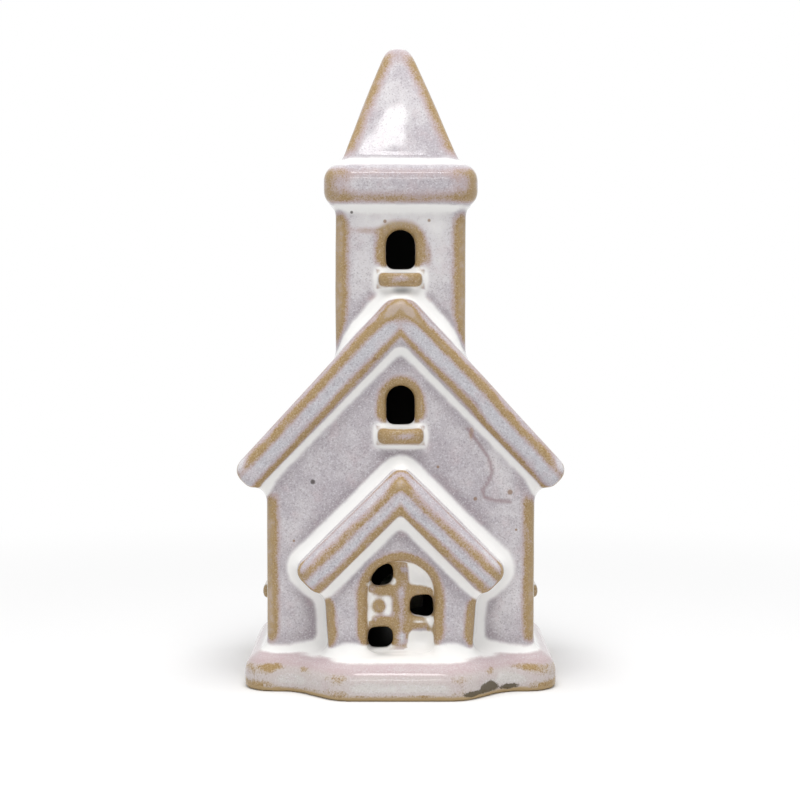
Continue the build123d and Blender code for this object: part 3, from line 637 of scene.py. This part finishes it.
class Nodes:
    """A node tree that is written step by step."""

    def __init__(self, tree):
        self.tree = tree
        self.tree.nodes.clear()

    def node(self, kind, settings=None, inputs=None, output=0):
        made = self.tree.nodes.new(kind)
        for key, value in (settings or {}).items():
            setattr(made, key, value)
        for key, value in (inputs or {}).items():
            if isinstance(value, Tone):
                self.tree.links.new(value.socket, made.inputs[key])
            else:
                made.inputs[key].default_value = value
        return Tone(self, made.outputs[output])

    def most(self, first, second):
        return self.node("ShaderNodeMath", {"operation": "MAXIMUM"}, {0: first, 1: second})

    def seen(self):
        """1 for what the camera sees, straight, in a reflection or through something clear."""
        path = self.node("ShaderNodeLightPath", output="Is Camera Ray")
        rays = path.socket.node.outputs
        return self.most(path, self.most(Tone(self, rays["Is Glossy Ray"]), Tone(self, rays["Is Transmission Ray"])))

    def close(self, kind, shader):
        """The tree's output node."""
        out = self.tree.nodes.new(kind)
        self.tree.links.new(shader.socket, out.inputs["Surface"])


class Finish(Nodes):
    """One procedural material."""

    def __init__(self, name):
        self.material = bpy.data.materials.new(name)
        self.material.use_nodes = True
        super().__init__(self.material.node_tree)
        self.place = self.node("ShaderNodeTexCoord", output="Object")

    def noise(self, grain, detail=2.0, roughness=0.5, shift=(0, 0, 0)):
        """Noise whose lumps are about grain millimetres across."""
        place = self.node("ShaderNodeMapping", {}, {"Vector": self.place, "Location": shift})
        return self.node("ShaderNodeTexNoise", {}, {"Vector": place, "Scale": 1 / (grain * MM), "Detail": detail,
                                                    "Roughness": roughness}, "Fac")

    def note(self, name):
        """What was kept at each point under that name."""
        return self.node("ShaderNodeAttribute", {"attribute_name": name}, output="Fac")

    def height(self):
        return self.node("ShaderNodeSeparateXYZ", {}, {0: self.place}, 2)

    def ease(self, value, low, high):
        return self.node("ShaderNodeMapRange", {"interpolation_type": "SMOOTHSTEP"},
                         {"Value": value, "From Min": low, "From Max": high})

    def blend(self, share, under, over):
        return self.node("ShaderNodeMix", {"data_type": "RGBA"}, {0: share, 6: under, 7: over}, 2)

    def spot(self, place, size):
        """1 within a small round spot on the surface, 0 outside it."""
        centre = tuple(c * MM for c in place)
        away = self.node("ShaderNodeVectorMath", {"operation": "DISTANCE"}, {0: self.place, 1: centre}, "Value")
        return 1 - self.ease(away, 0.45 * size * MM, size * MM)

    def bump(self, height, strength, depth):
        return self.node("ShaderNodeBump", {}, {"Height": height, "Strength": strength, "Distance": depth * MM})

    def surface(self, **inputs):
        names = {k.replace("_", " ").title().replace("Ior", "IOR"): v for k, v in inputs.items()}
        self.close("ShaderNodeOutputMaterial", self.node("ShaderNodeBsdfPrincipled", {}, names))
        return self.material


LAVENDER = paint(186, 179, 185)
PALE_LAVENDER = paint(218, 214, 216)
# painted shade for the field beside the pooled creases
CREASE_SHADE_GREY = paint(156, 145, 151)
BLUISH_GREY = paint(197, 197, 203)
CREAM = paint(214, 209, 203)
BLUSH = paint(205, 186, 190)
DARK_SPECK = paint(146, 135, 143)
PALE_SPECK = paint(228, 226, 231)
DUSTY_ROSE = paint(196, 170, 176)
PINKISH_EDGE = paint(186, 160, 158)
TAN = paint(170, 142, 97)
BROWN = paint(138, 108, 64)
STRAW = paint(212, 192, 160)
# painted highlight along the crests of sharp edges
EDGE_CREST_HIGHLIGHT = paint(205, 188, 180)
DRIP = paint(152, 128, 131)
POOLED_WHITE = paint(250, 249, 247)
PINHOLE = paint(60, 50, 44)
IRON_SPOT = paint(140, 104, 66)
BARE_CLAY = paint(182, 157, 116)
OLIVE = paint(80, 70, 45)
UNLIT_INSIDE = paint(34, 29, 25)


def glaze():
    """Reactive glaze: lavender grey, tan where it breaks over edges, white where it pools."""
    f = Finish("stoneware_glaze")
    cloud = f.noise(7.0, 2)
    drift = f.noise(2.0, 3, 0.55, (3, 1, 7))
    grain = f.noise(0.38, 1, 0.5, (5, 2, 1))
    blush = f.noise(4.5, 3, 0.6, (8, 4, 2))
    dust = f.noise(0.24, 0, 0.5, (1, 9, 4))
    pool = f.note("pool")
    breaks = f.note("breaks")
    milk = f.note("milk")
    inside = f.note("inside")
    height = f.height()
    plinth = 1 - f.ease(height, 9.0 * MM, 10.5 * MM)
    dither = (grain - 0.5) * 1.2 + (dust - 0.5) * 0.6

    # The open glaze: clouds, painted shade as a darker halo beside the pooled creases, a bluish one beside the
    # edges, blushes and specks.
    pale = f.ease(cloud * 0.55 + drift * 0.45 + milk * 0.28, 0.34, 0.78)
    colour = f.blend(pale, LAVENDER, PALE_LAVENDER)
    # Painted shade: the field is darkened beside the pooled creases, where shade falls.
    shade = f.ease(f.note("halo") - pool * 0.75 + (drift - 0.5) * 0.3 - milk * 0.2, 0.05, 0.38)
    colour = f.blend(shade * 0.85, colour, CREASE_SHADE_GREY)
    thin = f.ease(f.note("rim") + (drift - 0.5) * 0.25 + dither * 0.15, 0.15, 0.60)
    colour = f.blend(thin * (0.4 + drift * 0.7), colour, BLUISH_GREY)
    colour = f.blend(plinth * 0.8, colour, CREAM)
    colour = f.blend(f.ease(blush, 0.50, 0.72) * 0.35, colour, BLUSH)
    colour = f.blend(f.ease(dither, 0.02, 0.40) * (0.60 - plinth * 0.30), colour, DARK_SPECK)
    colour = f.blend(f.ease(dither, -0.02, -0.40) * 0.6, colour, PALE_SPECK)

    # Edges, where it breaks.
    edge = breaks * (1 + (drift - 0.5) * 0.75 + (cloud - 0.5) * 0.4 + dither * (0.48 - plinth * 0.2))
    broken = f.ease(edge - plinth * 0.30, 0.34, 0.76)
    rosy = f.ease(height, 5.0 * MM, 6.6 * MM) * plinth
    colour = f.blend(rosy * (0.30 + cloud * 0.6 + dither * 0.6), colour, DUSTY_ROSE)
    colour = f.blend(f.ease(edge, 0.14, 0.46) * (0.65 - plinth * 0.35), colour, PINKISH_EDGE)
    colour = f.blend(broken, colour, TAN)
    colour = f.blend(f.ease(dither + (drift - 0.5) * 0.5, 0.0, 0.36) * broken * 0.6, colour, BROWN)
    colour = f.blend(f.ease(dither, -0.05, -0.36) * broken * 0.45, colour, STRAW)
    # Painted highlight: the crests of the sharpest edges are paled to a light line.
    colour = f.blend(f.ease(edge, 0.85, 1.25) * (1 - plinth) * 0.6, colour, EDGE_CREST_HIGHLIGHT)
    colour = f.blend(f.note("drip") * 0.75, colour, DRIP)

    # Creases and flat tops, where it pools.
    depth = pool * 1.15 + f.note("tops") + milk * 0.28 - breaks * 0.25 + (drift - 0.5) * 0.30 + dither * 0.22
    colour = f.blend(f.ease(depth, 0.20, 0.80), colour, POOLED_WHITE)

    for place, size in DARK_PINHOLES:
        colour = f.blend(f.spot(place, size) * 0.85, colour, PINHOLE)
    for place, size in TAN_SPOTS:
        colour = f.blend(f.spot(place, size) * 0.75, colour, IRON_SPOT)

    # Clay without glaze: the foot, a few patches and the inside, whose walls are painted near black as shade.
    foot = 1 - f.ease(height + (drift - 0.5) * (1.4 * MM) + dither * (0.2 * MM), 0.7 * MM, 1.3 * MM)
    patch = f.ease(f.note("bare") + dither * 0.25 + (drift - 0.5) * 0.5, 0.40, 0.62)
    colour = f.blend(foot, colour, BARE_CLAY)
    colour = f.blend(patch * 0.9, colour, OLIVE)
    # Painted shade: the unglazed inside walls are darkened as if unlit.
    colour = f.blend(inside, colour, UNLIT_INSIDE)
    bare = f.most(f.most(inside, foot), patch)
    gloss = 0.08 + (drift - 0.5) * 0.05 + bare * 0.66
    relief = f.bump(cloud * 0.5 + drift * 0.4 + grain * 0.05, 0.25, 0.06)
    return f.surface(base_color=colour, roughness=gloss, normal=relief, specular_ior_level=0.5)


def plain(name, colour, second, rough, grain, bumpy=0.2, **more):
    """A moulded or rolled finish with a slight drift in colour and sheen."""
    f = Finish(name)
    drift = f.noise(grain, 3)
    fine = f.noise(grain / 6, 2, 0.5, (2, 5, 3))
    tint = f.blend(f.ease(drift, 0.35, 0.65), paint(*colour), paint(*second))
    gloss = rough + (fine - 0.5) * (0.3 * rough)
    return f.surface(base_color=tint, roughness=gloss, normal=f.bump(fine, bumpy, 0.02), **more)


def cup(name, colour, dark, height):
    """White moulded plastic with painted shade: dark from that height up, so that it does not show through the door.
    """
    f = Finish(name)
    fine = f.noise(0.7, 2, 0.5, (2, 5, 3))
    tint = f.blend(f.ease(f.height(), height * MM, (height + 0.3) * MM), paint(*colour), paint(*dark))
    return f.surface(base_color=tint, roughness=0.40 + (fine - 0.5) * 0.12, normal=f.bump(fine, 0.2, 0.02))


stoneware = glaze()
for thing in (base, house, steeple):
    thing.data.materials.clear()
    thing.data.materials.append(stoneware)

FINISHES = {
    # Its top, inside the house, is painted dark as shade.
    "white_plastic": cup("white_plastic_painted_shade", (226, 224, 216), (30, 28, 26), 6.2),
    "clear_silicone": plain("clear_silicone_rubber", (214, 218, 218), (204, 209, 210), 0.32, 3.0,
                            transmission_weight=0.6, ior=1.41),
    "frosted_plastic": plain("frosted_lens_plastic", (206, 200, 188), (196, 190, 178), 0.5, 2.0,
                             transmission_weight=0.6, ior=1.49),
    "warm_epoxy": plain("warm_led_epoxy", (246, 206, 120), (238, 190, 98), 0.22, 1.0,
                        transmission_weight=0.4, ior=1.5),
    "board_laminate": plain("green_board_laminate", (38, 104, 62), (30, 88, 52), 0.4, 1.5),
    "cell_steel": plain("rolled_cell_steel", (190, 191, 192), (172, 173, 175), 0.3, 1.5, metallic=1.0),
    "contact_metal": plain("nickel_contact_strip", (196, 190, 176), (180, 174, 160), 0.28, 1.2, metallic=1.0),
    "black_plastic": plain("moulded_black_plastic", (30, 30, 31), (22, 22, 23), 0.42, 2.0),
    "screw_steel": plain("zinc_screw_steel", (176, 178, 180), (154, 157, 160), 0.3, 0.8, metallic=1.0),
}
for entry in frame["record"]["subparts"]:
    if entry["material_slot"] in FINISHES:
        nodes[entry["node"]].data.materials.clear()
        nodes[entry["node"]].data.materials.append(FINISHES[entry["material_slot"]])


WHITE = (1, 1, 1, 1)
PAPER = (0.80, 0.80, 0.80, 1)
PAPER_LIFT = 0.08
FADE_FROM, FADE_FULL = 0.09, 0.30  # metres from the middle of the floor
FLOOR_REACH = 5.0
FLOOR_HEIGHT = 0.02 * MM
FLOOR_SIDES = 64
FLOOR_OPENING = (0.031, 0.022)  # half width and half depth of the opening under the plinth
OPENING_BACK = 0.005
ROOM_LIGHT = 0.42


def studio_floor():
    """White sweep that keeps the soft shadow and fades to pure white further out.

    It is clear from below and open under the plinth, so that the underside can be looked at.
    """
    sheet = bmesh.new()
    for reach in (1.0, FLOOR_REACH):
        bmesh.ops.create_circle(sheet, segments=FLOOR_SIDES, radius=reach)
    for vert in sheet.verts[:FLOOR_SIDES]:
        x, y = vert.co.x, vert.co.y
        grow = (x ** 4 + y ** 4) ** -0.25
        vert.co = (FLOOR_OPENING[0] * grow * x, OPENING_BACK + FLOOR_OPENING[1] * grow * y, 0)
    bmesh.ops.bridge_loops(sheet, edges=sheet.edges[:])
    bmesh.ops.translate(sheet, verts=sheet.verts[:], vec=(0, 0, FLOOR_HEIGHT))
    for face in sheet.faces:
        face.normal_update()
        if face.normal.z < 0:
            face.normal_flip()
    made = bpy.data.meshes.new("studio_floor")
    sheet.to_mesh(made)
    sheet.free()
    floor = bpy.data.objects.new("studio_floor", made)
    bpy.context.scene.collection.objects.link(floor)
    f = Finish("white_paper_sweep")
    seen = f.seen()
    away = f.node("ShaderNodeVectorMath", {"operation": "LENGTH"}, {0: f.place}, "Value")
    paper = f.node("ShaderNodeBsdfDiffuse", {}, {"Color": PAPER})
    lift = f.node("ShaderNodeEmission", {}, {"Color": WHITE, "Strength": seen * PAPER_LIFT})
    near = f.node("ShaderNodeAddShader", {}, {0: paper, 1: lift})
    glow = f.node("ShaderNodeEmission", {}, {"Color": WHITE, "Strength": 1.0})
    top = f.node("ShaderNodeMixShader", {}, {0: f.ease(away, FADE_FROM, FADE_FULL) * seen, 1: near, 2: glow})
    below = f.node("ShaderNodeNewGeometry", output="Backfacing")
    clear = f.node("ShaderNodeBsdfTransparent")
    f.close("ShaderNodeOutputMaterial", f.node("ShaderNodeMixShader", {}, {0: below, 1: top, 2: clear}))
    floor.data.materials.append(f.material)


def studio_air():
    """Even white room light; what the camera and reflections see of it is white."""
    world = bpy.data.worlds.new("studio_air")
    bpy.context.scene.world = world
    world.use_nodes = True
    air = Nodes(world.node_tree)
    room = air.node("ShaderNodeBackground", {}, {"Color": WHITE, "Strength": ROOM_LIGHT})
    white = air.node("ShaderNodeBackground", {}, {"Color": WHITE, "Strength": 1.0})
    air.close("ShaderNodeOutputWorld", air.node("ShaderNodeMixShader", {}, {0: air.seen(), 1: room, 2: white}))


def softbox(name, place, aim, width, height, power):
    """Soft rectangular lamp, in metres and watts."""
    lamp = bpy.data.lights.new(name, "AREA")
    lamp.shape = "RECTANGLE"
    lamp.size = width
    lamp.size_y = height
    lamp.energy = power
    thing = bpy.data.objects.new(name, lamp)
    bpy.context.scene.collection.objects.link(thing)
    thing.location = place
    thing.rotation_euler = (Vector(aim) - Vector(place)).to_track_quat("-Z", "Y").to_euler()
    return thing


studio_floor()
studio_air()
softbox("key_softbox", (-0.018, -0.592, 0.749), (0, 0, 0.12), 0.11, 0.11, 0.31)
softbox("low_softbox", (-0.03, -0.90, 0.36), (0, 0, 0.05), 0.13, 0.05, 0.11)
overhead = softbox("top_softbox", (0.0, -0.22, 0.92), (0, 0, 0.05), 0.60, 0.60, 7.6)
overhead.visible_glossy = False

IMAGE_SIZE = 800  # pixels, as is the focal length
FOCAL_LENGTH = 1721.1
SENSOR = 36.0
CAMERA_PLACE = (-0.00012, -0.40197, 0.08577)
CAMERA_DIP = 3.056  # degrees

eye = bpy.data.cameras.new("photo_camera")
eye.sensor_width = SENSOR
eye.lens = SENSOR * FOCAL_LENGTH / IMAGE_SIZE
eye.clip_start = 0.01
eye.clip_end = 20.0
camera = bpy.data.objects.new("photo_camera", eye)
bpy.context.scene.collection.objects.link(camera)
camera.location = CAMERA_PLACE
camera.rotation_euler = (math.radians(90 - CAMERA_DIP), 0, 0)
bpy.context.scene.camera = camera
bpy.context.scene.view_settings.view_transform = "Standard"
